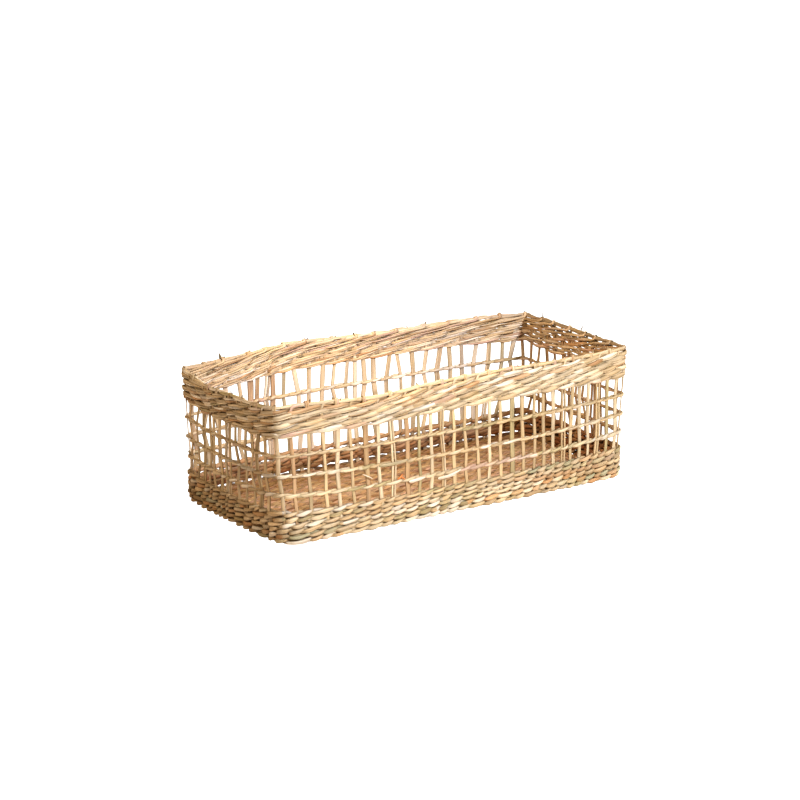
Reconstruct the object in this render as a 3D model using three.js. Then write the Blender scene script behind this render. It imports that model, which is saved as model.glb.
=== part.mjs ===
// Woven bread basket with an open top. Millimetres, +Z up, the long side along X.
// Flat grass stakes cross under the floor and turn up into the walls. Weaver rows run round them,
// close together in a lower and an upper band and wide apart between the two. A border caps the stakes.
import * as THREE from "three";

const HEIGHT = 100;
const RIM_HALF = { x: 148.5, y: 67 }; // centre of the basket to the middle of a wall's thickness
const FLOOR_HALF = { x: 144, y: 67 };
const CORNER_RADIUS = 9;
const BOW = { long: 4.5, short: 3 }; // how far the middle of a wall stands out from its corners

const STAKES_ACROSS = 31; // each serves both long walls
const STAKES_ALONG = 13; // each serves both short walls
const STAKE = { width: 3, thick: 1, top: 97.4, bend: 3.5 };
const ACROSS_LAYER = 2.4; // height of the middle of each floor layer
const ALONG_LAYER = 3.7;

const STRAND = { thick: 1.2, weave: 2.2 }; // weave: how far a weaver swings out and in
const ROW_GAP = 0.35;
const FOOT_BAND = { rows: 2, bottom: 0.5, top: 7.3, setIn: [0.75, -0.2] };
const LOWER_BAND = { rows: 4, bottom: 7.3, top: 23.4 };
const OPEN_ROWS = { heights: [34.3, 48, 62.5], tall: 3.2 };
const UPPER_BAND = { rows: 5, bottom: 77.5, top: 95.7 };
const SAG = [[8, 0], [23, 5], [48, 5], [62.5, 3], [77.5, 0]]; // height, drop at the middle of a wall
const SHORT_WALL_SAG = 0.5; // share of that drop on the short walls

const MAT = { thick: 1.6, inset: 1.2 };
const BORDER = { bottom: 95.95, inside: 1.15, outside: 2.8, roof: 97.75, chamfer: 0.7 };

const CORNER_STEPS = [0.2, 0.5, 0.8]; // shares of a quarter turn
const BEND_SEGMENTS = 1; // steps in an eighth of a turn

const STRAW = { color: 0xd8b57c, roughness: 0.75, metalness: 0 };
const GREEN_STRAW = { color: 0xb9a868, roughness: 0.78, metalness: 0 };
const PALE_STRAW = { color: 0xe2c795, roughness: 0.72, metalness: 0 };
const FLOOR_STRAW = { color: 0xbd9570, roughness: 0.82, metalness: 0 };

const span = { x: FLOOR_HALF.x - CORNER_RADIUS, y: FLOOR_HALF.y - CORNER_RADIUS };

const mix = (low, high, share) => low + (high - low) * share;
const halfAt = (axis, z) => mix(FLOOR_HALF[axis], RIM_HALF[axis], z / HEIGHT);
const arch = (along, half) => 1 - (along / half) ** 2; // 1 at a wall's middle, 0 at its ends

// The four walls, anticlockwise from above, with their stakes in the order that a weaver meets them.
const WALLS = [
  { normal: [0, -1], run: [1, 0], axis: "y", half: span.x, bow: BOW.long, sag: 1, stakes: STAKES_ACROSS },
  { normal: [1, 0], run: [0, 1], axis: "x", half: span.y, bow: BOW.short, sag: SHORT_WALL_SAG,
    stakes: STAKES_ALONG },
  { normal: [0, 1], run: [-1, 0], axis: "y", half: span.x, bow: BOW.long, sag: 1, stakes: STAKES_ACROSS },
  { normal: [-1, 0], run: [0, -1], axis: "x", half: span.y, bow: BOW.short, sag: SHORT_WALL_SAG,
    stakes: STAKES_ALONG },
];

// How far a wall stands from the basket's centre at one place along it.
const reachOf = (wall, along, z) => halfAt(wall.axis, z) + wall.bow * arch(along, wall.half);

// A place on a wall's middle line. spot gives the point at a height, moved outwards.
function wallPlace(wall, along, phase) {
  const spot = (z, out) => {
    const reach = reachOf(wall, along, z) + out;
    return [0, 1].map((i) => wall.normal[i] * reach + wall.run[i] * along);
  };
  return { spot, phase, sag: wall.sag * arch(along, wall.half) };
}

// A place on the quarter round that joins a wall to the next one.
function cornerPlace(wall, next, step, phase) {
  const turn = (step * Math.PI) / 2;
  const spot = (z, out) => [0, 1].map((i) => {
    const before = (halfAt(wall.axis, z) + out - span[wall.axis]) * Math.cos(turn) + span[wall.axis];
    const after = (halfAt(next.axis, z) + out - span[next.axis]) * Math.sin(turn) + span[next.axis];
    return wall.normal[i] * before + next.normal[i] * after;
  });
  return { spot, phase: phase * Math.cos(2 * turn), sag: 0 };
}

// Every stake's place round the basket and the corners between. stride leaves some stakes out.
function placesRound(stride) {
  const places = [];
  let phase = 1;
  WALLS.forEach((wall, w) => {
    const pitch = (2 * wall.half) / (wall.stakes - 1);
    for (let i = 0; i < wall.stakes; i += 1) {
      if (i % stride[wall.axis] === 0) places.push(wallPlace(wall, i * pitch - wall.half, phase));
      phase = -phase;
    }
    const next = WALLS[(w + 1) % WALLS.length];
    CORNER_STEPS.forEach((step) => places.push(cornerPlace(wall, next, step, -phase)));
  });
  return places;
}

const EVERY_STAKE = placesRound({ x: 1, y: 1 });
const SOME_STAKES = placesRound({ x: 2, y: 3 });

// The drop of the weave at a height, at the middle of a long wall.
function sagAt(z) {
  for (let i = 1; i < SAG.length; i += 1) {
    const [[z0, drop0], [z1, drop1]] = [SAG[i - 1], SAG[i]];
    if (z >= z0 && z < z1) return mix(drop0, drop1, (z - z0) / (z1 - z0));
  }
  return 0;
}

// A closed ring whose section is a list of [outward offset, height] points, given for each place.
function ringGeometry(places, sectionAt) {
  const corners = places.flatMap((place) => sectionAt(place).map(([out, z]) => {
    const [x, y] = place.spot(z, out);
    return [x, y, z - place.sag * sagAt(z)];
  }));
  const sides = corners.length / places.length;
  const index = [];
  for (let p = 0; p < places.length; p += 1) {
    const next = (p + 1) % places.length;
    for (let s = 0; s < sides; s += 1) {
      const up = (s + 1) % sides;
      const [a, b, c, d] = [p * sides + s, next * sides + s, next * sides + up, p * sides + up];
      index.push(a, b, c, a, c, d);
    }
  }
  const geometry = new THREE.BufferGeometry();
  geometry.setAttribute("position", new THREE.Float32BufferAttribute(corners.flat(), 3));
  geometry.setIndex(index);
  geometry.computeVertexNormals();
  return geometry;
}

// A weaver's flat section, anticlockwise when the outside is to the right.
const strandSection = (middle, bottom, top) => [
  [middle - STRAND.thick / 2, bottom],
  [middle + STRAND.thick / 2, bottom],
  [middle + STRAND.thick / 2, top],
  [middle - STRAND.thick / 2, top],
];

// A weaver that passes outside one stake and inside the next.
function weaverGeometry(bottom, top, side) {
  return ringGeometry(EVERY_STAKE, (place) => (
    strandSection(place.phase * side * STRAND.weave, bottom, top)));
}

// A weaver laid outside the bends of the stakes.
function footGeometry(bottom, top, setIn) {
  const middle = STAKE.thick / 2 + ROW_GAP + STRAND.thick / 2 - setIn;
  return ringGeometry(SOME_STAKES, () => strandSection(middle, bottom, top));
}

// The border: a channel, open below, that holds the cut ends of the stakes.
function borderGeometry() {
  const { bottom, inside, outside, roof, chamfer } = BORDER;
  const section = [
    [inside, bottom], [outside, bottom], [outside, HEIGHT - chamfer], [outside - chamfer, HEIGHT],
    [chamfer - outside, HEIGHT], [-outside, HEIGHT - chamfer], [-outside, bottom], [-inside, bottom],
    [-inside, roof], [inside, roof],
  ];
  return ringGeometry(SOME_STAKES, () => section);
}

// The mat under the floor: a flat sheet with the basket's own outline.
function matGeometry() {
  const outline = SOME_STAKES.map((place) => new THREE.Vector2(...place.spot(0, -MAT.inset)));
  return new THREE.ExtrudeGeometry(new THREE.Shape(outline), { depth: MAT.thick, bevelEnabled: false });
}

// A stake: a flat U that lies in the floor and stands in two opposite walls.
function stakeGeometry(wall, along, floor) {
  const { width, thick, top, bend } = STAKE;
  const foot = reachOf(wall, along, floor + bend) - bend;
  const head = reachOf(wall, along, top);
  const [outer, inner] = [bend + thick / 2, bend - thick / 2];
  const shape = new THREE.Shape();
  shape.moveTo(head + thick / 2, top);
  shape.lineTo(head - thick / 2, top);
  shape.absarc(foot, floor + bend, inner, 0, -Math.PI / 2, true);
  shape.absarc(-foot, floor + bend, inner, -Math.PI / 2, -Math.PI, true);
  shape.lineTo(thick / 2 - head, top);
  shape.lineTo(-head - thick / 2, top);
  shape.absarc(-foot, floor + bend, outer, Math.PI, 1.5 * Math.PI, false);
  shape.absarc(foot, floor + bend, outer, -Math.PI / 2, 0, false);
  return new THREE.ExtrudeGeometry(shape, {
    depth: width, bevelEnabled: false, curveSegments: BEND_SEGMENTS,
  });
}

const basket = new THREE.Group();

function add(name, geometry, look) {
  const mesh = new THREE.Mesh(geometry, new THREE.MeshStandardMaterial(look));
  mesh.name = name;
  basket.add(mesh);
  return mesh;
}

function addStakes() {
  const [long, short] = WALLS;
  const upright = new THREE.Matrix4().makeBasis(
    new THREE.Vector3(0, 1, 0), new THREE.Vector3(0, 0, 1), new THREE.Vector3(1, 0, 0));
  for (let i = 0; i < STAKES_ACROSS; i += 1) {
    const along = (2 * long.half * i) / (STAKES_ACROSS - 1) - long.half;
    const stake = add(`stake_across_${String(i + 1).padStart(2, "0")}`,
      stakeGeometry(long, along, ACROSS_LAYER), PALE_STRAW);
    stake.quaternion.setFromRotationMatrix(upright);
    stake.position.x = along - STAKE.width / 2;
  }
  for (let i = 0; i < STAKES_ALONG; i += 1) {
    const along = (2 * short.half * i) / (STAKES_ALONG - 1) - short.half;
    const stake = add(`stake_along_${String(i + 1).padStart(2, "0")}`,
      stakeGeometry(short, along, ALONG_LAYER), PALE_STRAW);
    stake.rotation.x = Math.PI / 2;
    stake.position.y = along + STAKE.width / 2;
  }
}

// The bottom and top of one row of a close band.
function rowLimits(band, row) {
  const pitch = (band.top - band.bottom) / band.rows;
  return [band.bottom + row * pitch, band.bottom + (row + 1) * pitch - ROW_GAP];
}

function addRows() {
  let side = 1;
  for (let row = 0; row < FOOT_BAND.rows; row += 1) {
    add(`foot_row_${row + 1}`,
      footGeometry(...rowLimits(FOOT_BAND, row), FOOT_BAND.setIn[row]), GREEN_STRAW);
  }
  for (let row = 0; row < LOWER_BAND.rows; row += 1, side = -side) {
    add(`lower_row_${row + 1}`, weaverGeometry(...rowLimits(LOWER_BAND, row), side), STRAW);
  }
  OPEN_ROWS.heights.forEach((height, row) => {
    const half = OPEN_ROWS.tall / 2;
    add(`open_row_${row + 1}`, weaverGeometry(height - half, height + half, side), PALE_STRAW);
    side = -side;
  });
  for (let row = 0; row < UPPER_BAND.rows; row += 1, side = -side) {
    add(`upper_row_${row + 1}`, weaverGeometry(...rowLimits(UPPER_BAND, row), side), STRAW);
  }
}

add("base_mat", matGeometry(), FLOOR_STRAW);
addStakes();
addRows();
add("rim_border", borderGeometry(), PALE_STRAW);

export default basket;
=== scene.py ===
"""The looks of a rectangular bread basket woven from dried grass. Lengths are in millimetres until a mesh is
made. A place in the wall is a stake number q that runs anticlockwise round the basket, a height and a
distance outwards from the middle of the wall."""
import math

import bpy
import numpy as np
from mathutils import Matrix, Vector


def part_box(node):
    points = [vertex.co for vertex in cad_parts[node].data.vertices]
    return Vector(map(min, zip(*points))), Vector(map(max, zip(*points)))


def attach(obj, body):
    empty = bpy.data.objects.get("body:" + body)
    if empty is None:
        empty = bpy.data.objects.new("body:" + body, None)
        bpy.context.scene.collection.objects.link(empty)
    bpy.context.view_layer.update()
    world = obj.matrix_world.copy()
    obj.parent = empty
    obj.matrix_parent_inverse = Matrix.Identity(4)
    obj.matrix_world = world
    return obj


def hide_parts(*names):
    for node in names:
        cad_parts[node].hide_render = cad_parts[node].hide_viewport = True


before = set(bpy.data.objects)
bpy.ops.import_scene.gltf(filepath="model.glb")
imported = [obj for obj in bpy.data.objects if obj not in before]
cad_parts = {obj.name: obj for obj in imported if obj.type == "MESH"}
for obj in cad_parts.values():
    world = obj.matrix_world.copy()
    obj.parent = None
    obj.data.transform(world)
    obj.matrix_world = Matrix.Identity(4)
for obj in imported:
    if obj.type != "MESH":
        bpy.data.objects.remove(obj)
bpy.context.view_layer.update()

M = 0.001  # one millimetre in scene units
SEED = 7

# The frame's own measures.
ACROSS = sorted(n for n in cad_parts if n.startswith("stake_across_"))
ALONG = sorted(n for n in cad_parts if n.startswith("stake_along_"))
LONG_STAKES = len(ACROSS)
SHORT_STAKES = len(ALONG)
COUNT = 2 * (LONG_STAKES + SHORT_STAKES)
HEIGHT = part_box("rim_border")[1].z / M
STAKE_THICK = 1.0  # of the frame's stakes
HALF_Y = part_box(ACROSS[0])[1].y / M - STAKE_THICK / 2
RIM_HALF_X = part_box(ALONG[0])[1].x / M - STAKE_THICK / 2
FLOOR_HALF_X = RIM_HALF_X - 3.8  # the short walls lean out by this much


def half_length(z):
    """Half the distance between the short walls at their corners."""
    return FLOOR_HALF_X + (RIM_HALF_X - FLOOR_HALF_X) * z / HEIGHT


# How far each wall's weave hangs down (or swells up) at mid wall, at a few heights.
LEVELS = [0, 8, 23.5, 34.3, 48, 62.5, 77.5, 98]
SAG = {  # a minus sign hangs down
    "front": [0, 0, -3.2, -4.2, -4.2, -2.7, 0, -0.8],
    "right": [0, 0, -1.0, -1.0, -1.0, -1.0, -2.5, -0.9],
    "back": [0, 0, -2.0, -0.5, 0, 1.0, 5.0, 1.0],
    "left": [0, 0, -2.5, -2.5, -2.5, -2.5, -3.0, -3.4],
}
# The weave rises by these at the corners, which start at the front left one and run anticlockwise.
CORNER_LIFT = (-0.7, 0.2, 1.0, -0.4)  # at the floor
CORNER_LIFT_TO = 16.0  # height at which that has faded
RIM_CORNER_LIFT = (0.0, 0.0, -1.5, 0.0)  # at the rim
RIM_LIFT_FROM, RIM_LIFT_TO = 80.0, 95.0  # heights over which that sets in
CORNER_STAKES = 3  # both reach this many stakes either way
ROUND = (10.0, 3.0)  # corner radius at the floor and higher up
ROUND_TO = 70.0  # height at which the corners have become as sharp as the rim's
TIGHT_CORNER = 0.5  # the back left corner is this much tighter than the others
NEAR_CORNER = (1.0, -10.8)  # how far the foot of the front left corner bulges
NEAR_CORNER_TO = 50.0  # height at which that has faded
OUT_LEVELS = [0, 50, 80]
RIGHT_OUT = [1.0, 1.0, 1.9]  # the right end stands this much further out than the frame's
LEFT_OUT = [0.7, 0.3, 0.0]  # and so does the left end
BAND_DROP = 1.5  # the upper band hangs down by up to this much, all round
BAND_LEVELS = [62.5, 77.5, 98]  # its foot, where it hangs lowest, and its top


class Wall:
    """One wall: its first and last stakes, where it faces and runs, how it bows at the floor and at the rim,
    and how its stakes are spaced. They stand closer towards its last corner by `crowd`, their gaps vary by
    `loose`, and `pairs` of the gaps are narrow ones. A high `power` keeps the bow flat to near the corners. A
    stake stands in each corner, and belongs to the long wall."""
    NARROW = 0.45

    def __init__(self, name, first, last, normal, run, bow, crowd, loose, pairs, power=2):
        rng = np.random.default_rng([SEED, first])
        self.name = name
        self.first = first
        self.last = last
        self.normal = np.array(normal, float)
        self.run = np.array(run, float)
        self.bow = bow
        self.power = power
        gaps = last - first
        gap = 1 - crowd * np.linspace(-1, 1, gaps) + rng.uniform(-loose, loose, gaps)
        gap[rng.choice(gaps, pairs, replace=False)] *= self.NARROW
        self.at = np.append(0, np.cumsum(gap))
        self.at = 2 * self.at / self.at[-1] - 1

    def reach(self, z):
        """How far the wall stands from the middle of the basket, at its corners."""
        return half_length(z) if self.normal[0] else np.full_like(z, HALF_Y)

    def half(self, z):
        """Half the wall's length."""
        return np.full_like(z, HALF_Y) if self.normal[0] else half_length(z)

    def holds(self, k):
        return (k >= self.first) & ((k <= self.last) if self.normal[1] else (k < self.last))

    def share(self, k):
        """Places along the wall, from -1 at its first corner to 1 at its last."""
        return np.interp(k, np.arange(self.first, self.last + 1), self.at)

    def bowed(self, z):
        return self.bow[0] + (self.bow[1] - self.bow[0]) * z / HEIGHT

    def sag(self, k, z):
        return np.interp(z, LEVELS, SAG[self.name]) * (1 - np.abs(self.share(k)) ** 3)


CORNERS = [0, LONG_STAKES - 1, LONG_STAKES + SHORT_STAKES, 2 * LONG_STAKES + SHORT_STAKES - 1, COUNT]
# Name, first and last stake, normal, run, bow, crowd, loose, pairs.
FRONT = Wall("front", CORNERS[0], CORNERS[1], (0, -1), (1, 0), (5.7, 3.6), 0.22, 0.09, 0)
RIGHT = Wall("right", CORNERS[1], CORNERS[2], (1, 0), (0, 1), (2.9, 0.5), 0.0, 0.16, 1)
BACK = Wall("back", CORNERS[2], CORNERS[3], (0, 1), (-1, 0), (3.2, 5.8), 0.1, 0.16, 4)
LEFT = Wall("left", CORNERS[3], CORNERS[4], (-1, 0), (0, -1), (5.2, 0.8), 0.0, 0.16, 2, power=4)
WALLS = [FRONT, BACK, RIGHT, LEFT]

# Swells of the rim: wall, place along it from -1 to 1, half width, rise.
RIM_SWELLS = [
    (FRONT, -0.5, 0.3, -3.0), (FRONT, 0.15, 0.4, 1.5), (LEFT, -0.4, 0.5, -1.5), (BACK, 0.38, 0.42, 3.4),
]
SWELLS_FROM = 60.0  # height from which they set in


def unit(v):
    return v / np.linalg.norm(v, axis=-1, keepdims=True)


def outline(k, z, out):
    """Points and outward normals for arrays of places round the basket."""
    k = np.mod(k, COUNT)
    flat = np.zeros(k.shape + (2,))
    normal = np.zeros_like(flat)
    for wall in WALLS:
        m = wall.holds(k)
        share = wall.share(k[m])[:, None]
        half, bow = wall.half(z[m])[:, None], wall.bowed(z[m])[:, None]
        out_here = wall.reach(z[m])[:, None] + bow * (1 - share ** wall.power)
        flat[m] = wall.normal * out_here + wall.run * share * half
        normal[m] = unit(wall.normal + wall.power * bow * share ** (wall.power - 1) / half * wall.run)
    radius = ROUND[1] + (ROUND[0] - ROUND[1]) * np.clip(1 - z / ROUND_TO, 0, 1)
    radius = radius * np.where((flat[:, 0] < 0) & (flat[:, 1] > 0), TIGHT_CORNER, 1)
    centre = np.column_stack([half_length(z), np.full(len(z), HALF_Y)]) - radius[:, None]
    past = np.abs(flat) - centre
    m = (past > 0).all(1)
    past[m] *= (past[m].max(1) / np.linalg.norm(past[m], axis=1))[:, None]
    flat[m] = np.sign(flat[m]) * (centre[m] + past[m])
    normal[m] = np.sign(flat[m]) * unit(past[m])
    flat += normal * out[..., None]
    end = flat[:, 0] / RIM_HALF_X
    right, left = np.interp(z, OUT_LEVELS, RIGHT_OUT), np.interp(z, OUT_LEVELS, LEFT_OUT)
    flat[:, 0] += end * np.where(end > 0, right, left)
    leftwards, forwards = np.clip(-flat[:, 0] / RIM_HALF_X, 0, 1), np.clip(-flat[:, 1] / HALF_Y, 0, 1)
    bulge = leftwards * forwards * np.clip(1 - z / NEAR_CORNER_TO, 0, 1)
    flat += bulge[:, None] * np.array(NEAR_CORNER)
    return flat, normal


def droop(k, z):
    """How far the weave hangs down or swells up at places round the basket."""
    k = np.mod(k, COUNT)
    lift = -BAND_DROP * np.interp(z, BAND_LEVELS, [0, 1, 0])
    for wall in WALLS:
        m = wall.holds(k)
        lift[m] += wall.sag(k[m], z[m])
    for corner, foot, rim in zip(CORNERS, CORNER_LIFT, RIM_CORNER_LIFT):
        off = np.abs(np.mod(k - corner + COUNT / 2, COUNT) - COUNT / 2)
        near = np.clip(1 - off / CORNER_STAKES, 0, 1)
        high = np.clip((z - RIM_LIFT_FROM) / (RIM_LIFT_TO - RIM_LIFT_FROM), 0, 1)
        lift += near * (foot * np.clip(1 - z / CORNER_LIFT_TO, 0, 1) + rim * high)
    for wall, at, half, rise in RIM_SWELLS:
        m = wall.holds(k)
        share = wall.share(k[m])
        bump = np.exp(-2.0 * ((share - at) / half) ** 2) * (1 - share ** 4)
        lift[m] += rise * bump * np.clip((z[m] - SWELLS_FROM) / (HEIGHT - SWELLS_FROM), 0, 1)
    return lift


def stretch(k, z):
    """How much taller than in the frame the weave is at places round the basket."""
    span = 2.0
    return 1 + (droop(k, z + span) - droop(k, z - span)) / (2 * span)


# Each stake wanders along the wall from row to row, in stake pitches.
SHIFT_LEVELS = [0, 23, 34, 48, 62, 78, 98]
SHIFT_LIMIT = 1.6  # in standard deviations
LOOSE = {"front": 0.06, "right": 0.16, "back": 0.14, "left": 0.18}
shift_rng = np.random.default_rng(SEED)
loose = np.zeros(COUNT)
for wall in WALLS[::-1]:
    loose[wall.first:wall.last + 1] = LOOSE[wall.name]
SHIFT = shift_rng.normal(0, 1, (len(SHIFT_LEVELS), COUNT)).clip(-SHIFT_LIMIT, SHIFT_LIMIT) * loose
# The front's stakes near the front left corner lean towards it at the foot, and the left wall's last three
# stand further from it.
LEAN, LEANING, LEAN_TO = 0.5, 14, 50.0
lean = np.interp(SHIFT_LEVELS, [0, LEAN_TO], [1, 0])
SHIFT[:, :LEANING] -= LEAN * np.outer(lean, 1 - np.arange(LEANING) / LEANING)
SHIFT[:, -3:] -= 0.1, 0.25, 0.4


def stake_shift(z):
    """Each stake's shift along the wall at one height, in stake pitches."""
    return np.array([np.interp(z, SHIFT_LEVELS, SHIFT[:, k]) for k in range(COUNT)])


def place(q, z, out, row_z):
    """Scene points and normals for arrays of stake numbers, heights and distances outwards."""
    values = stake_shift(row_z)
    k = q + np.interp(np.mod(q, COUNT), np.arange(COUNT + 1), np.append(values, values[0]))
    flat, normal = outline(k, z, out)
    return np.column_stack([flat, z + droop(k, z)]), np.column_stack([normal, np.zeros(len(q))])


def on_wall(q, wall):
    """1 at places on a wall, fading to 0 at its corners."""
    q = np.mod(q, COUNT)
    return np.clip(np.minimum(q - wall.first, wall.last - q) / 2 + 0.5, 0, 1)


def wander(count, knots, rng, closed=True, columns=1):
    """Smooth noise between -1 and 1 along a strand, one column for each stripe."""
    knots = max(int(knots), 3)
    values = rng.uniform(-1, 1, (knots, columns))
    t = np.linspace(0, knots, count, endpoint=False) if closed else np.linspace(0, knots - 1.001, count)
    i = np.floor(t).astype(int)
    f = (t - i)[:, None]
    f = f * f * (3 - 2 * f)
    noise = values[i % knots] * (1 - f) + values[(i + 1) % knots] * f
    return noise[:, 0] if columns == 1 else noise


def linear(r, g, b):
    """A linear colour from the eight-bit values that a colour chart gives."""
    shares = (r / 255, g / 255, b / 255)
    return tuple(c / 12.92 if c < 0.04045 else ((c + 0.055) / 1.055) ** 2.4 for c in shares)


WHITE = linear(232, 216, 188)
CREAM = linear(222, 199, 160)
STRAW = linear(208, 180, 136)
TAN = linear(192, 156, 114)
ORANGE = linear(202, 156, 106)
KHAKI = linear(182, 164, 120)
GREEN = linear(178, 170, 134)
PINK = linear(208, 174, 146)
BROWN = linear(146, 108, 74)
# Painted shade on the inner faces, which face into the basket: they are duller and pinker than the outer ones,
# and browner low down.
INNER_FACE_PAINTED_SHADE = (0.85, 0.86, 0.94)
INNER_STAKE_PAINTED_SHADE = (0.83, 0.88, 1.06)
INNER_LOW_PAINTED_SHADE = (0.67, 0.53, 0.48)
# Painted shade: how much darker the inner faces are on the right wall's stakes and single rows, whose inside
# lies in shade.
RIGHT_PAINTED_SHADE = np.array((0.28, 0.38, 0.45))
# Each blend's colours, and how often each is drawn.
BLENDS = {
    "upper": ([WHITE, CREAM, STRAW, TAN, ORANGE, KHAKI, PINK], [0.19, 0.40, 0.25, 0.04, 0.03, 0.03, 0.06]),
    "lower": ([WHITE, CREAM, STRAW, TAN, ORANGE, KHAKI, GREEN], [0.08, 0.30, 0.34, 0.08, 0.07, 0.09, 0.04]),
    "open": ([WHITE, CREAM, STRAW, PINK, KHAKI], [0.2, 0.4, 0.28, 0.04, 0.08]),
    "stake": ([CREAM, STRAW, TAN, KHAKI], [0.26, 0.54, 0.08, 0.12]),
    "fold": ([CREAM, STRAW, TAN, PINK], [0.36, 0.36, 0.14, 0.14]),
    "floor": ([STRAW, TAN, PINK, BROWN], [0.28, 0.26, 0.40, 0.06]),
    "light": ([WHITE, CREAM], [0.7, 0.3]),
    "rust": ([ORANGE, linear(218, 138, 76)], [0.2, 0.8]),
}


def leaf_colours(count, leaf, blend, rng):
    """Colours along a strand that is pieced together from leaves of about `leaf` samples."""
    palette, weights = BLENDS[blend]
    palette = np.array(palette)
    colours = np.zeros((count, 3))
    at = 0
    while at < count:
        length = int(leaf * rng.uniform(0.6, 1.5))
        ends = palette[rng.choice(len(palette), 2, p=weights)] * rng.uniform(0.84, 1.1)
        share = np.linspace(0, 1, length)[:, None]
        part = ends[0] * (1 - share) + (0.6 * ends[0] + 0.4 * ends[1]) * share
        colours[at:at + length] = part[:count - at]
        at += length
    return colours


PLEAT = 22.0  # millimetres between the ridges and streaks along a leaf
STREAK = 0.16  # how far a leaf's tone varies from stripe to stripe
INNER_FROM = -0.2  # stripes that face further inwards than this take the inner faces' painted shade
CAP_SHADE = 0.55  # a cut end's share of the leaf's tone
CAP_TALL = 0.1
FIBRE_LENGTH = 10.0  # millimetres along a leaf for one unit of fibre space


class Strands:
    """Collects tubes into one mesh, with a colour and a place among the fibres at each point."""

    def __init__(self):
        self.points, self.colours, self.fibres, self.quads, self.tris = [], [], [], [], []
        self.size = 0

    def add(self, path, outward, wide, thick, colour, rng, closed=False, sides=12, roll=0.0,
            ridge=0.08, power=2.5, edge=0.25, inner=INNER_FACE_PAINTED_SHADE):
        """A leaf folded into a flat tube: `wide` lies along the wall and `thick` goes through it. `roll`
        turns it about its path. A high `power` squares its section. Its edges, where it meets its neighbours,
        are darker by the edge argument, as painted shade, and stripes that face inwards take the painted shade
        `inner`."""
        count = len(path)
        step = np.roll(path, -1, 0) - np.roll(path, 1, 0) if closed else np.gradient(path, axis=0)
        tangent = unit(step)
        face = unit(outward - (outward * tangent).sum(1)[:, None] * tangent)
        side = np.cross(tangent, face)
        angle = 2 * math.pi * np.arange(sides) / sides
        c, s = np.cos(angle), np.sin(angle)
        c = np.sign(c) * np.abs(c) ** (2 / power)
        s = np.sign(s) * np.abs(s) ** (2 / power)
        length = np.linalg.norm(step, axis=1).cumsum() * (0.5 if closed else 1.0)
        knots = length[-1] / PLEAT
        swell = 1 + ridge * wander(count, knots, rng, closed, sides)
        x = (np.asarray(thick) / 2)[:, None] * c * swell
        y = (np.asarray(wide) / 2)[:, None] * s * swell
        turn = np.broadcast_to(roll, count)[:, None]
        x, y = x * np.cos(turn) - y * np.sin(turn), x * np.sin(turn) + y * np.cos(turn)
        ring = path[:, None] + face[:, None] * x[..., None] + side[:, None] * y[..., None]
        tone = 1 + STREAK * wander(count, knots * 1.3, rng, closed, sides)
        # Painted shade along the edges, where a strand meets its neighbours.
        tone = tone * (1 - edge * np.abs(np.sin(angle)) ** 5)
        shade = np.clip(colour[:, None, :] * tone[..., None], 0, 1)
        # Stripes that face inwards take the painted shade `inner`.
        shade = np.where((c < INNER_FROM)[:, None], shade * inner, shade)
        seed = rng.uniform(-50, 50, 3)
        fibre = np.empty((count, sides, 3))
        fibre[..., 0] = np.cos(angle) + seed[0]
        fibre[..., 1] = np.sin(angle) + seed[1]
        fibre[..., 2] = (length / FIBRE_LENGTH)[:, None] + seed[2]
        base = self.size
        i = np.arange(count if closed else count - 1)[:, None]
        j = np.arange(sides)[None, :]
        a, b = i * sides + j, i * sides + (j + 1) % sides
        up = ((i + 1) % count) * sides
        d, e = up + j, up + (j + 1) % sides
        self.quads.append(np.stack([a, d, e, b], -1).reshape(-1, 4) + base)
        self._take(ring.reshape(-1, 3), shade.reshape(-1, 3), fibre.reshape(-1, 3))
        if not closed:
            self._cap(path[0] - tangent[0] * CAP_TALL, shade[0].mean(0), fibre[0, 0], base, sides, True)
            self._cap(path[-1] + tangent[-1] * CAP_TALL, shade[-1].mean(0), fibre[-1, 0],
                      base + (count - 1) * sides, sides, False)

    def _take(self, points, colours, fibres):
        self.points.append(points)
        self.colours.append(colours)
        self.fibres.append(fibres)
        self.size += len(points)

    def _cap(self, tip, colour, fibre, start, sides, first):
        j = np.arange(sides)
        a, b = start + j, start + (j + 1) % sides
        hub = np.full(sides, self.size)
        self.tris.append(np.stack([b, hub, a] if not first else [a, hub, b], -1))
        self._take(tip[None], (colour * CAP_SHADE)[None], fibre[None])

    def mesh(self, name):
        points = np.concatenate(self.points) * M
        quads = np.concatenate(self.quads)
        tris = np.concatenate(self.tris) if self.tris else np.zeros((0, 3), int)
        mesh = bpy.data.meshes.new(name)
        mesh.vertices.add(len(points))
        mesh.vertices.foreach_set("co", points.astype(np.float32).ravel())
        loops = np.concatenate([quads.ravel(), tris.ravel()]).astype(np.int32)
        mesh.loops.add(len(loops))
        mesh.loops.foreach_set("vertex_index", loops)
        starts = np.concatenate([np.arange(len(quads)) * 4, 4 * len(quads) + 3 * np.arange(len(tris))])
        mesh.polygons.add(len(starts))
        mesh.polygons.foreach_set("loop_start", starts.astype(np.int32))
        mesh.update(calc_edges=True)
        mesh.shade_smooth()
        tint = mesh.attributes.new("tint", "FLOAT_COLOR", "POINT")
        colours = np.concatenate(self.colours)
        tint.data.foreach_set("color", np.column_stack([colours, np.ones(len(colours))]).ravel())
        fibre = mesh.attributes.new("fibre", "FLOAT_VECTOR", "POINT")
        fibre.data.foreach_set("vector", np.concatenate(self.fibres).ravel())
        return mesh


def shader(tree, kind, **values):
    """A shader node, with its sockets or settings at these values."""
    node = tree.nodes.new(kind)
    for key, value in values.items():
        if key in node.inputs:
            node.inputs[key].default_value = value
        else:
            setattr(node, key, value)
    return node


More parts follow.
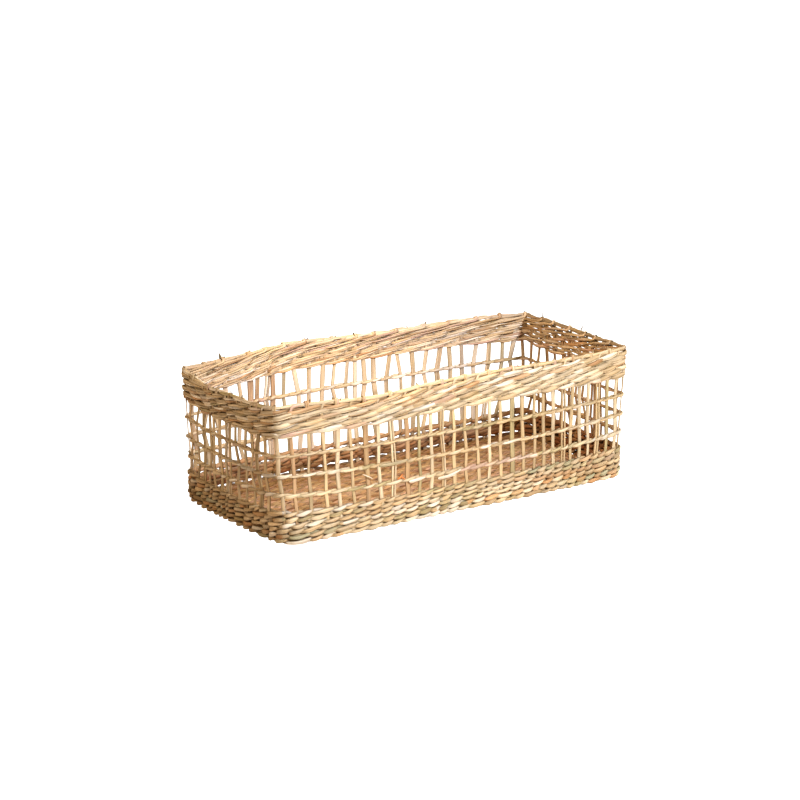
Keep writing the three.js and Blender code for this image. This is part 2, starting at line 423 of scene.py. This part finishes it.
def ramp(tree, source, low, high, dark, light):
    """Maps source between low and high to a grey between dark and light."""
    node = tree.nodes.new("ShaderNodeMapRange")
    node.inputs["From Min"].default_value = low
    node.inputs["From Max"].default_value = high
    node.inputs["To Min"].default_value = dark
    node.inputs["To Max"].default_value = light
    tree.links.new(source, node.inputs["Value"])
    return node.outputs["Result"]


def blend_colour(tree, mode, factor, first, second):
    node = tree.nodes.new("ShaderNodeMix")
    node.data_type = "RGBA"
    node.blend_type = mode
    for socket, value in ((node.inputs[0], factor), (node.inputs[6], first), (node.inputs[7], second)):
        if isinstance(value, bpy.types.NodeSocket):
            tree.links.new(value, socket)
        else:
            socket.default_value = value
    return node.outputs[2]


def fibre_noise(tree, vector, around, along, detail):
    """Noise drawn out along the fibres."""
    scale = tree.nodes.new("ShaderNodeVectorMath")
    scale.operation = "MULTIPLY"
    scale.inputs[1].default_value = (around, around, along)
    tree.links.new(vector, scale.inputs[0])
    noise = shader(tree, "ShaderNodeTexNoise", Scale=1.0, Detail=detail, Roughness=0.6)
    tree.links.new(scale.outputs[0], noise.inputs["Vector"])
    return noise.outputs["Fac"]


HAIR_COLOUR = (0.80, 0.66, 0.44, 1)
FLECK_COLOUR = (0.16, 0.08, 0.03, 1)


def grass_material(name, patch, patch_share, rough):
    """Dried grass: the strand's own colour, streaks and fine fibres along it, stained patches."""
    material = bpy.data.materials.new(name)
    material.use_nodes = True
    tree = material.node_tree
    shade = tree.nodes["Principled BSDF"]
    tint = shader(tree, "ShaderNodeAttribute", attribute_name="tint").outputs["Color"]
    fibre = shader(tree, "ShaderNodeAttribute", attribute_name="fibre").outputs["Vector"]
    streak = fibre_noise(tree, fibre, 3.2, 0.35, 3.0)
    hair = fibre_noise(tree, fibre, 9.0, 0.9, 2.0)
    coords = tree.nodes.new("ShaderNodeTexCoord").outputs["Object"]
    stain = shader(tree, "ShaderNodeTexNoise", Scale=55.0, Detail=3.0, Roughness=0.6)
    tree.links.new(coords, stain.inputs["Vector"])
    fleck = shader(tree, "ShaderNodeTexNoise", Scale=420.0, Detail=2.0, Roughness=0.7)
    tree.links.new(coords, fleck.inputs["Vector"])
    stained = ramp(tree, stain.outputs["Fac"], 0.5, 0.75, 0.0, patch_share)
    colour = blend_colour(tree, "MIX", stained, tint, patch)
    grey = tree.nodes.new("ShaderNodeCombineColor")
    tone = ramp(tree, streak, 0.3, 0.7, 0.70, 1.16)
    for i in range(3):
        tree.links.new(tone, grey.inputs[i])
    colour = blend_colour(tree, "MULTIPLY", 1.0, colour, grey.outputs[0])
    haired = ramp(tree, hair, 0.55, 0.8, 0.0, 0.45)
    colour = blend_colour(tree, "MIX", haired, colour, HAIR_COLOUR)
    flecked = ramp(tree, fleck.outputs["Fac"], 0.66, 0.78, 0.0, 0.7)
    colour = blend_colour(tree, "MIX", flecked, colour, FLECK_COLOUR)
    tree.links.new(colour, shade.inputs["Base Color"])
    tree.links.new(ramp(tree, streak, 0.3, 0.7, rough + 0.12, rough - 0.12), shade.inputs["Roughness"])
    bump = shader(tree, "ShaderNodeBump", Strength=0.6, Distance=0.25 * M)
    tree.links.new(blend_height(tree, streak, hair), bump.inputs["Height"])
    tree.links.new(bump.outputs["Normal"], shade.inputs["Normal"])
    shade.inputs["Specular IOR Level"].default_value = 0.35
    return material


def blend_height(tree, first, second):
    """The first height plus a share of the second."""
    node = tree.nodes.new("ShaderNodeMath")
    node.operation = "MULTIPLY_ADD"
    node.inputs[1].default_value = 0.4
    tree.links.new(second, node.inputs[0])
    tree.links.new(first, node.inputs[2])
    return node.outputs[0]


# Slot: name, the stains' colour and share, roughness.
MATERIALS = {
    "straw": grass_material("dried_grass", (0.50, 0.34, 0.15, 1), 0.5, 0.62),
    "pale_straw": grass_material("pale_grass", (0.52, 0.40, 0.18, 1), 0.5, 0.55),
    "green_straw": grass_material("green_grass", (0.36, 0.33, 0.14, 1), 0.6, 0.66),
    "floor_straw": grass_material("floor_grass", (0.42, 0.28, 0.17, 1), 0.5, 0.7),
}


def finish_piece(strands, node, slot):
    """Makes a collected mesh into a piece that stands for one CAD node."""
    name = node + "_weave"
    piece = bpy.data.objects.new(name, strands.mesh(name))
    bpy.context.scene.collection.objects.link(piece)
    piece.data.materials.append(MATERIALS[slot])
    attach(piece, "root")
    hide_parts(node)


PER_STAKE = 12  # samples of a row between two stakes
DIVE_PAINTED_SHADE = 0.35  # painted shade: a strand is this much darker where it dives between two stakes
RIGHT_TIGHT = 0.42  # the upper rows are this much narrower on the right wall


def twine(strands, rng, blend, z, swing, rise, wide, thick, passes=1, out=0.0, start=0.0, gap=0.0, pinch=0.5,
          edge=0.4, inner=INNER_FACE_PAINTED_SHADE, blades=1, hold=0.8):
    """Adds two strands of one or two blades twisted round each other, with `passes` stakes held in each half
    turn. `swing` and `rise` are how far a strand moves through the wall and up and down, `out` and `start`
    put the whole row further out and along, and `gap` is how far it is pushed up on the back wall. A strand
    is narrower by the share `pinch` where it dives. The lower `hold` is, the sooner it comes to lie flat."""
    upper = passes > 1
    count = COUNT * PER_STAKE
    q = np.arange(count) / PER_STAKE
    push = gap * on_wall(q, BACK) * (1 + 0.3 * wander(count, 40, rng))
    local = wide * stretch(q, np.full(count, z))
    tight = 1 - (RIGHT_TIGHT if upper else 0.0) * on_wall(q, RIGHT)
    slip = (0.3 if upper else 0.45) * wander(count, 36 if upper else 50, rng)
    if not upper:
        # Painted shade on the inner faces of the single rows along the right wall.
        inner = np.array(inner) * (1 - RIGHT_PAINTED_SHADE * on_wall(q, RIGHT)[:, None, None])
    for strand in range(2):
        phase = math.pi * ((q + slip + 0.5 * (passes - 1) + start) / passes + strand)
        c, s = np.cos(phase), np.sin(phase)
        swing_here = swing * (1 + 0.12 * wander(count, 90, rng))
        offset = out + swing_here * np.sign(c) * np.abs(c) ** hold + 0.2 * wander(count, 60, rng)
        level = z + rise * s + push + 0.22 * wander(count, 70, rng)
        plump = 1 - pinch + pinch * np.abs(c) ** hold
        width = local * tight * plump * (1 + 0.2 * wander(count, 120, rng))
        depth = thick * (0.75 + 0.25 * np.abs(c)) * (1 + 0.14 * wander(count, 110, rng))
        roll = 0.3 * s + 0.2 * wander(count, 60, rng)
        even = np.maximum(on_wall(q, LEFT), on_wall(q, BACK))
        split = 0.86 - 0.32 * even + 0.08 * wander(count, 50, rng)
        for blade in range(blades):
            share, shift, lift = 1.0, 0.0, 0.0
            if blades > 1:
                share = (split if blade else 1 - split) + 0.08
                shift = width * 0.5 * ((1 - split) if blade else -split)
                lift = 0.22 * wander(count, 70, rng)
            path, normal = place(q, level + shift, offset + lift, z)
            colour = leaf_colours(count, (9 if upper else 4.5) * PER_STAKE, blend, rng)
            tone = 1 + (0.10 if blades == 1 else 0.16) * wander(count, 130, rng)
            # Painted shade where the strand dives between two stakes.
            tone = tone * (1 - DIVE_PAINTED_SHADE * (1 - np.abs(c)) ** 8)
            strands.add(path, normal, width * share, depth, colour * tone[:, None], rng, closed=True,
                        edge=edge, inner=inner, roll=roll, sides=12 if blades == 1 else 8)


def twined_row(node, slot, *args, seed, **kwargs):
    """Makes the piece for one row. The lowest open row holds the scraps too."""
    strands = Strands()
    rng = np.random.default_rng([SEED, seed])
    twine(strands, rng, *args, **kwargs)
    if node == "open_row_1":
        make_scraps(strands, rng)
    finish_piece(strands, node, slot)


def row_heights(prefix, tall):
    """Each of a band's nodes with its row's middle height, from the frame, for a row this tall."""
    names = sorted(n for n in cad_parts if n.startswith(prefix))
    return [(n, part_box(n)[1].z / M - tall / 2) for n in names]


# How tall each band's rows are.
FOOT_TALL, LOWER_TALL, OPEN_TALL, UPPER_TALL = 3.1, 3.7, 3.2, 3.3
LOWER = dict(swing=1.6, rise=0.95, wide=3.5, thick=2.1, pinch=0.38, edge=0.5, inner=INNER_LOW_PAINTED_SHADE, hold=0.68)
UPPER = dict(swing=1.35, rise=1.0, wide=3.3, thick=1.7, passes=2, pinch=0.48, edge=0.36, blades=2)
UPPER_FOOT = row_heights("upper_row_", UPPER_TALL)[0][1]
UPPER_SHARE = 0.84  # the upper rows lie closer than the frame's, which leaves room for one in the border

# Odd bits of leaf caught in the front's open rows: place, height, run along the wall, rise, width, blend.
SCRAPS = [
    (9.0, 33.0, 1.3, 1.6, 2.4, "light"),
    (12.2, 32.0, 1.2, 3.4, 1.6, "light"),
    (11.4, 31.2, 1.5, 0.8, 2.4, "light"),
    (8.2, 36.5, 0.35, 3.0, 1.6, "rust"),
    (8.4, 38.0, 0.3, -2.6, 1.4, "rust"),
    (5.6, 44.0, 0.7, -4.5, 0.9, "light"),
]


def make_scraps(strands, rng):
    for q, z, run, rise, wide, blend in SCRAPS:
        leaf(strands, [(q, z, 2.0), (q + 0.3 * run, z + 0.25 * rise, 2.6),
                       (q + 0.7 * run, z + 0.6 * rise, 2.5), (q + run, z + rise, 2.2)],
             wide, 0.8, blend, rng, samples=14)


def make_rows():
    for i, (node, _) in enumerate(row_heights("foot_row_", FOOT_TALL)):
        foot = {**LOWER, "wide": (3.1, 3.4)[i], "rise": 0.7}
        twined_row(node, "green_straw", "lower", (2.0, 5.5)[i], out=(0.3, 0.7)[i], gap=(0.0, 1.6)[i],
                   start=-0.12 * i, seed=10 + i, **foot)
    for i, (node, z) in enumerate(row_heights("lower_row_", LOWER_TALL)):
        twined_row(node, "straw", "lower", z, gap=(0.3, -0.8, -2.0, -0.6)[i], start=-0.24 - 0.12 * i,
                   seed=20 + i, **LOWER)
    for i, (node, z) in enumerate(row_heights("open_row_", OPEN_TALL)):
        twined_row(node, "pale_straw", "open", z, swing=1.3, rise=(0.7, 0.45, 0.45)[i],
                   wide=(2.6, 2.3, 2.2)[i], thick=1.7, pinch=0.25, seed=30 + i)
    for i, (node, z) in enumerate(row_heights("upper_row_", UPPER_TALL)):
        z = UPPER_FOOT + (z - UPPER_FOOT) * UPPER_SHARE
        twined_row(node, "straw", "upper", z, start=0.7 * i, seed=40 + i, **UPPER)


STAKE_TOP = 96.0
BEND = 4.5  # radius at which a stake turns into the floor
FLOOR_LEVEL = {"across": 1.5, "along": 2.5}
DOUBLE_SHARE, BROAD_SHARE = 0.16, 0.12  # how many stakes are a pair of leaves, and how many one broad leaf
BROAD_WIDE, USUAL_WIDE, CORNER_WIDE = (3.6, 4.4), (2.3, 3.3), 3.2
FAR_WIDER, FAR_CORNER = 1.2, 0.8  # the width's factor at a back or left end, and at one in a corner


def stake_path(q_near, q_far, level):
    """The middle line of a stake, down one wall, through the floor and up the other."""
    z = np.arange(STAKE_TOP, level + BEND + 1, -2.0)
    halves = []
    for q in (q_near, q_far):
        shift = np.interp(z, SHIFT_LEVELS, SHIFT[:, q])
        flat, normal = outline(q + shift, z, np.zeros_like(z))
        height = z + droop(q + shift, z)
        halves.append((np.column_stack([flat, height]), np.column_stack([normal, np.zeros(len(z))])))
    (near, near_n), (far, far_n) = halves
    corner = []
    for wall_end, normal in ((near[-1], near_n[-1]), (far[-1], far_n[-1])):
        turns = np.linspace(0.15, math.pi / 2, 6)
        centre = np.array([*(wall_end[:2] - normal[:2] * BEND), level + BEND])
        arc = [centre + normal * BEND * math.cos(t) - np.array([0, 0, BEND * math.sin(t)]) for t in turns]
        arc_n = [normal * math.cos(t) - np.array([0, 0, math.sin(t)]) for t in turns]
        corner.append((np.array(arc), np.array(arc_n)))
    (a, a_n), (b, b_n) = corner
    steps = int(np.linalg.norm(b[-1] - a[-1]) / 3)
    share = np.linspace(0, 1, steps)[1:-1, None]
    floor = a[-1] * (1 - share) + b[-1] * share
    floor_n = np.tile([0.0, 0.0, -1.0], (len(floor), 1))
    path = np.concatenate([near, a, floor, b[::-1], far[::-1]])
    return path, np.concatenate([near_n, a_n, floor_n, b_n[::-1], far_n[::-1]])


def make_stake(node, q_near, q_far, level, seed, inner):
    """Makes the piece for one stake: a leaf, or a pair of leaves side by side."""
    rng = np.random.default_rng([SEED, seed])
    path, normal = stake_path(q_near, q_far, level)
    count = len(path)
    strands = Strands()
    kind = rng.random()
    double = kind < DOUBLE_SHARE
    parts = [(-0.27, 0.46), (0.27, 0.44)] if double else [(0.0, 1.0)]
    width = rng.uniform(*(BROAD_WIDE if double or kind > 1 - BROAD_SHARE else USUAL_WIDE))
    corner = q_near in CORNERS
    if corner:
        width = CORNER_WIDE
    far_factor = FAR_CORNER if corner else FAR_WIDER
    side = unit(np.cross(unit(np.gradient(path, axis=0)), normal))
    for shift, share in parts:
        drift = shift * width + 0.25 * wander(count, count / 12, rng, False)
        line = path + side * drift[:, None]
        wide = width * share * (1 + 0.12 * wander(count, count / 10, rng, False))
        wide = wide * np.interp(np.arange(count) / count, [0.45, 0.55], [1.0, far_factor])
        thick = rng.uniform(0.8, 1.1) * np.ones(count)
        colour = leaf_colours(count, count, "stake", rng)
        colour = colour * (1 + 0.1 * wander(count, count / 8, rng, False))[:, None]
        roll = 0.12 * wander(count, count / 15, rng, False)
        strands.add(line, normal, wide, thick, colour, rng, sides=10, roll=roll, ridge=0.1,
                    inner=inner, edge=0.35)
    finish_piece(strands, node, "pale_straw")


def make_stakes():
    for i, node in enumerate(ACROSS):
        make_stake(node, FRONT.first + i, BACK.last - i, FLOOR_LEVEL["across"], 100 + i, INNER_STAKE_PAINTED_SHADE)
    for j, node in enumerate(ALONG):
        # The along stakes' inner faces carry the right wall's painted shade.
        make_stake(node, RIGHT.first + 1 + j, LEFT.last - 1 - j, FLOOR_LEVEL["along"], 200 + j,
                   INNER_STAKE_PAINTED_SHADE * (1 - RIGHT_PAINTED_SHADE))


FLOOR_ROWS = 44
FLOOR_MIDDLE = 1.9  # the floor's middle height
FLOOR_STEP = 1.6  # between samples of a floor row
FLOOR_INSET = 3.0  # the outermost floor row lies this far in from the middle of the wall


def make_floor():
    """The floor: twined rows side by side along the basket, round the stakes that cross it. The rows change
    from the front wall's outline to the back wall's, and reach out to the bowed end walls."""
    rng = np.random.default_rng([SEED, 300])
    strands = Strands()
    stakes = np.linspace(FRONT.first, FRONT.last, 4 * LONG_STAKES)
    level, inset = np.full(len(stakes), FLOOR_MIDDLE), np.full(len(stakes), -FLOOR_INSET)
    near, far = outline(stakes, level, inset)[0], outline(BACK.last - stakes, level, inset)[0]
    for row in range(FLOOR_ROWS):
        share = row / (FLOOR_ROWS - 1)
        line = near * (1 - share) + far * share
        bulge = 1 - (2 * share - 1) ** 2
        x = np.arange(line[0, 0] - LEFT.bow[0] * bulge, line[-1, 0] + RIGHT.bow[0] * bulge, FLOOR_STEP)
        q = np.interp(x, line[:, 0], stakes)
        y = np.interp(x, line[:, 0], line[:, 1])
        for strand in range(2):
            phase = math.pi * (q + strand) + (0.5 if row % 2 else 0.0)
            z = FLOOR_MIDDLE + 0.85 * np.cos(phase)
            lateral = y + 0.55 * np.sin(phase) + 0.35 * wander(len(x), 30, rng, False)
            path = np.column_stack([x, lateral, z])
            normal = np.tile([0.0, 0.0, 1.0], (len(x), 1))
            wide = 3.5 * (0.85 + 0.15 * np.abs(np.cos(phase))) * (1 + 0.15 * wander(len(x), 40, rng, False))
            thick = 1.25 * (1 + 0.15 * wander(len(x), 40, rng, False))
            colour = leaf_colours(len(x), 90, "floor", rng)
            strands.add(path, normal, wide, thick, colour, rng, sides=6, power=2.2)
    finish_piece(strands, "base_mat", "floor_straw")


def smooth(points, count):
    """A smooth open line through a few points (Catmull-Rom)."""
    p = np.asarray(points, float)
    p = np.vstack([2 * p[0] - p[1], p, 2 * p[-1] - p[-2]])
    spans = len(p) - 3
    t = np.linspace(0, spans - 1e-6, count)
    i = t.astype(int)
    f = (t - i)[:, None]
    a, b, c, d = p[i], p[i + 1], p[i + 2], p[i + 3]
    square = 2 * a - 5 * b + 4 * c - d
    cube = 3 * b - a - 3 * c + d
    return 0.5 * (2 * b + (c - a) * f + square * f ** 2 + cube * f ** 3)


def leaf(strands, knots, wide, thick, blend, rng, samples=30, shade=None, sides=8, tip=0.45):
    """One flat leaf that follows a few places in the wall, and narrows to a share `tip` at its far end.
    `shade` is its tone at its near end, past the middle and at its far end."""
    line = smooth(knots, samples)
    path, normal = place(line[:, 0], line[:, 1], line[:, 2], HEIGHT)
    shape = np.interp(np.arange(samples) / (samples - 1), [0, 0.1, 0.55, 1], [0.45, 1, 1, tip])
    width = wide * shape * (1 + 0.1 * wander(samples, 6, rng, False))
    colour = leaf_colours(samples, 2 * samples, blend, rng)
    if shade is not None:
        colour = colour * np.interp(np.linspace(0, 1, samples), [0, 0.6, 1], shade)[:, None]
    strands.add(path, normal, width, np.full(samples, thick), colour, rng, sides=sides)


RIM_LINE = HEIGHT - 2.3  # the middle of the strands that run along the rim
RIM_PAINTED_HIGHLIGHT, RIM_PAINTED_SHADE = 0.4, 0.3  # painted highlight: how much paler the rim is on the left wall; painted shade: how much darker it is on the right one
# Stray fibres that stand up from the rim: place, height, lean along the wall, width.
FIBRES = [
    (FRONT.first + 4.3, 3.2, 0.2, 0.6),
    (FRONT.first + 18.6, 3.0, -0.2, 0.5),
    (RIGHT.first + 6.9, 6.2, -0.5, 0.9),
    (RIGHT.first + 11.9, 5.2, 0.1, 0.9),
    (BACK.first + 9.0, 3.4, 0.3, 0.6),
    (BACK.last - 3.8, 5.8, 0.15, 2.0),
    (BACK.last - 6.4, 3.2, -0.2, 0.6),
    (LEFT.first + 3.5, 3.2, 0.3, 0.6),
    (LEFT.first + 8.4, 3.6, -0.3, 0.6),
]
STUB_SHARE = 0.7  # how many of the folded stakes have a cut stub beside them
STUB_SHADE, FIBRE_SHADE = (1.0, 0.7, 0.25), (0.6, 0.35, 0.25)  # dark at the cut end


def make_rim():
    """The border: a sixth upper row, and two thin strands along the top. Every second stake loops over them
    and folds down the inside as a pair of leaves, and the others run on along the rim. Cut ends and a few
    stray fibres stand up."""
    rng = np.random.default_rng([SEED, 400])
    strands = Strands()
    rows = row_heights("upper_row_", UPPER_TALL)
    pitch = (rows[1][1] - UPPER_FOOT) * UPPER_SHARE
    twine(strands, rng, "upper", UPPER_FOOT + len(rows) * pitch, start=0.7 * len(rows), **UPPER)
    count = COUNT * PER_STAKE
    q = np.arange(count) / PER_STAKE
    for strand in range(2):
        phase = math.pi * (q / 2.4 + strand)
        level = RIM_LINE + 0.45 * np.sin(phase) + 0.35 * wander(count, 60, rng)
        path, normal = place(q, level, 0.2 + 0.8 * np.cos(phase), HEIGHT)
        wide = 2.3 * (1 + 0.2 * wander(count, 90, rng))
        thick = 1.4 * (1 + 0.2 * wander(count, 90, rng))
        colour = leaf_colours(count, 14 * PER_STAKE, "upper", rng)
        # Painted highlight along the left wall's rim, and painted shade along the right wall's.
        rim_highlight_and_shade = 1 + RIM_PAINTED_HIGHLIGHT * on_wall(q, LEFT) - RIM_PAINTED_SHADE * on_wall(q, RIGHT)
        strands.add(path, normal, wide, thick, colour * rim_highlight_and_shade[:, None], rng, closed=True, sides=8)
    for q in range(COUNT):
        if q % 2:
            run = rng.uniform(1.6, 2.8)
            leaf(strands, [(q, RIM_LINE - 4.5, 0.2), (q + 0.15, RIM_LINE - 0.4, 0.9),
                           (q + 0.3 * run, RIM_LINE + 0.7, 1.0), (q + 0.6 * run, RIM_LINE + 0.6, 0.4),
                           (q + run, RIM_LINE - 0.9, -0.6)],
                 rng.uniform(1.8, 2.6), 0.8, "upper", rng)
            continue
        crest = RIM_LINE + rng.uniform(1.4, 2.6)
        for blade in range(2):
            run = rng.uniform(2.2, 3.4) + 1.4 * blade
            fall = rng.uniform(2.6, 4.6) + 3.0 * blade
            side = 0.06 * (2 * blade - 1)
            leaf(strands, [(q + side, RIM_LINE - 4.0, 1.1), (q + 0.02 + side, RIM_LINE - 0.2, 1.5),
                           (q + 0.05 + side, crest, 0.2), (q + 0.12 + side, RIM_LINE - 0.5, -1.6),
                           (q + 0.45 * run, RIM_LINE - 0.45 * fall, -2.4),
                           (q + 0.9 * run, RIM_LINE - 0.9 * fall, -2.5), (q + run, RIM_LINE - fall, -2.0)],
                 rng.uniform(1.4, 2.2), 0.7, "fold", rng, samples=40, tip=0.15, sides=6)
        if rng.random() < STUB_SHARE:
            tall = rng.uniform(0.8, 2.6)
            side = rng.uniform(-0.25, 0.25)
            leaf(strands, [(q + side, RIM_LINE - 1.5, 0.9), (q + side, RIM_LINE + 0.8, 0.7),
                           (q + 1.3 * side, RIM_LINE + 1.0 + tall, rng.uniform(-0.6, 0.9))],
                 rng.uniform(1.2, 2.0), 0.9, "stake", rng, samples=10, shade=STUB_SHADE)
    for q, tall, lean, wide in FIBRES:
        leaf(strands, [(q, RIM_LINE - 1.0, 0.6), (q + 0.2 * lean, RIM_LINE + 0.5 * tall, 0.6),
                       (q + lean, RIM_LINE + tall, 0.4)],
             wide, 0.5, "stake", rng, samples=12, shade=FIBRE_SHADE, sides=6)
    finish_piece(strands, "rim_border", "pale_straw")


# The photograph's view of the basket, in basket heights where it isn't an angle.
VIEW = {"azimuth": -31.3, "elevation": 15.1, "distance": 25.8, "lens": 158.0, "roll": -1.0,
        "target": (-0.05, 0.0, 0.67)}


def direction(azimuth, elevation):
    """The unit vector towards these angles in degrees. Azimuth 0 is the front, and 90 is the right."""
    a, e = math.radians(azimuth), math.radians(elevation)
    return Vector((math.sin(a) * math.cos(e), -math.cos(a) * math.cos(e), math.sin(e)))


def make_camera():
    camera = bpy.data.objects.new("camera", bpy.data.cameras.new("camera"))
    bpy.context.scene.collection.objects.link(camera)
    back = direction(VIEW["azimuth"], VIEW["elevation"])
    right = Vector((0, 0, 1)).cross(back).normalized()
    up = back.cross(right)
    roll = math.radians(VIEW["roll"])
    across = right * math.cos(roll) + up * math.sin(roll)
    upward = up * math.cos(roll) - right * math.sin(roll)
    camera.matrix_world = Matrix.Translation(
        Vector(VIEW["target"]) * HEIGHT * M + back * VIEW["distance"] * HEIGHT * M
    ) @ Matrix((across, upward, back)).transposed().to_4x4()
    camera.data.lens = VIEW["lens"]
    camera.data.sensor_width = 36
    camera.data.clip_end = 20
    bpy.context.scene.camera = camera


def make_light(name, azimuth, elevation, distance, size, power, colour, at=(0, 0, 0)):
    """A square light that faces `at`, in scene units."""
    light = bpy.data.objects.new(name, bpy.data.lights.new(name, "AREA"))
    bpy.context.scene.collection.objects.link(light)
    back = direction(azimuth, elevation)
    light.location = Vector(at) + back * distance
    light.visible_camera = False
    light.rotation_euler = back.to_track_quat("Z", "Y").to_euler()
    light.data.size = size
    light.data.energy = power
    light.data.color = colour


def camera_only(tree, seen, unseen, output):
    """Shows `seen` to the camera and `unseen` to the light that falls on the basket."""
    path = tree.nodes.new("ShaderNodeLightPath")
    mix = tree.nodes.new("ShaderNodeMixShader")
    tree.links.new(path.outputs["Is Camera Ray"], mix.inputs[0])
    tree.links.new(unseen, mix.inputs[1])
    tree.links.new(seen, mix.inputs[2])
    tree.links.new(mix.outputs[0], output)


BACKDROP = 1.2  # the background's strength, over 1 so that it comes out white


def make_studio():
    """A plain white floor and background, a soft warm fill from all round, a key light from the front and a
    warm one from the left, and a weak one close by for the light that bounces onto the right wall's inside."""
    scene = bpy.context.scene
    world = bpy.data.worlds.new("studio")
    scene.world = world
    world.use_nodes = True
    tree = world.node_tree
    fill = tree.nodes["Background"]
    fill.inputs["Color"].default_value = (1.0, 0.82, 0.68, 1)
    fill.inputs["Strength"].default_value = 0.2
    white = shader(tree, "ShaderNodeBackground", Color=(1, 1, 1, 1), Strength=BACKDROP)
    camera_only(tree, white.outputs[0], fill.outputs[0], tree.nodes["World Output"].inputs["Surface"])
    bpy.ops.mesh.primitive_circle_add(vertices=64, radius=6.0, fill_type="NGON", location=(0, 0, -0.0002))
    floor = bpy.context.object
    floor.name = "studio_floor"
    material = bpy.data.materials.new("studio_floor")
    material.use_nodes = True
    tree = material.node_tree
    shade = tree.nodes["Principled BSDF"]
    shade.inputs["Base Color"].default_value = (0.80, 0.74, 0.68, 1)
    shade.inputs["Roughness"].default_value = 1.0
    shade.inputs["Specular IOR Level"].default_value = 0.0
    glow = shader(tree, "ShaderNodeEmission", Color=(1, 1, 1, 1), Strength=BACKDROP)
    camera_only(tree, glow.outputs[0], shade.outputs[0], tree.nodes["Material Output"].inputs["Surface"])
    floor.data.materials.append(material)
    make_light("key", 16, 33, 2.4, 0.3, 50, (0.91, 0.98, 1.16))
    make_light("side", -105, 34, 1.8, 1.2, 7, (1.0, 0.86, 0.72))
    make_light("bounce", -72, 40, 0.2, 0.1, 0.34, (1.0, 0.82, 0.64), at=(0.07, 0.0, 0.085))
    scene.view_settings.view_transform = "Standard"
    scene.view_settings.look = "High Contrast"


make_camera()
make_studio()
make_floor()
make_stakes()
make_rows()
make_rim()
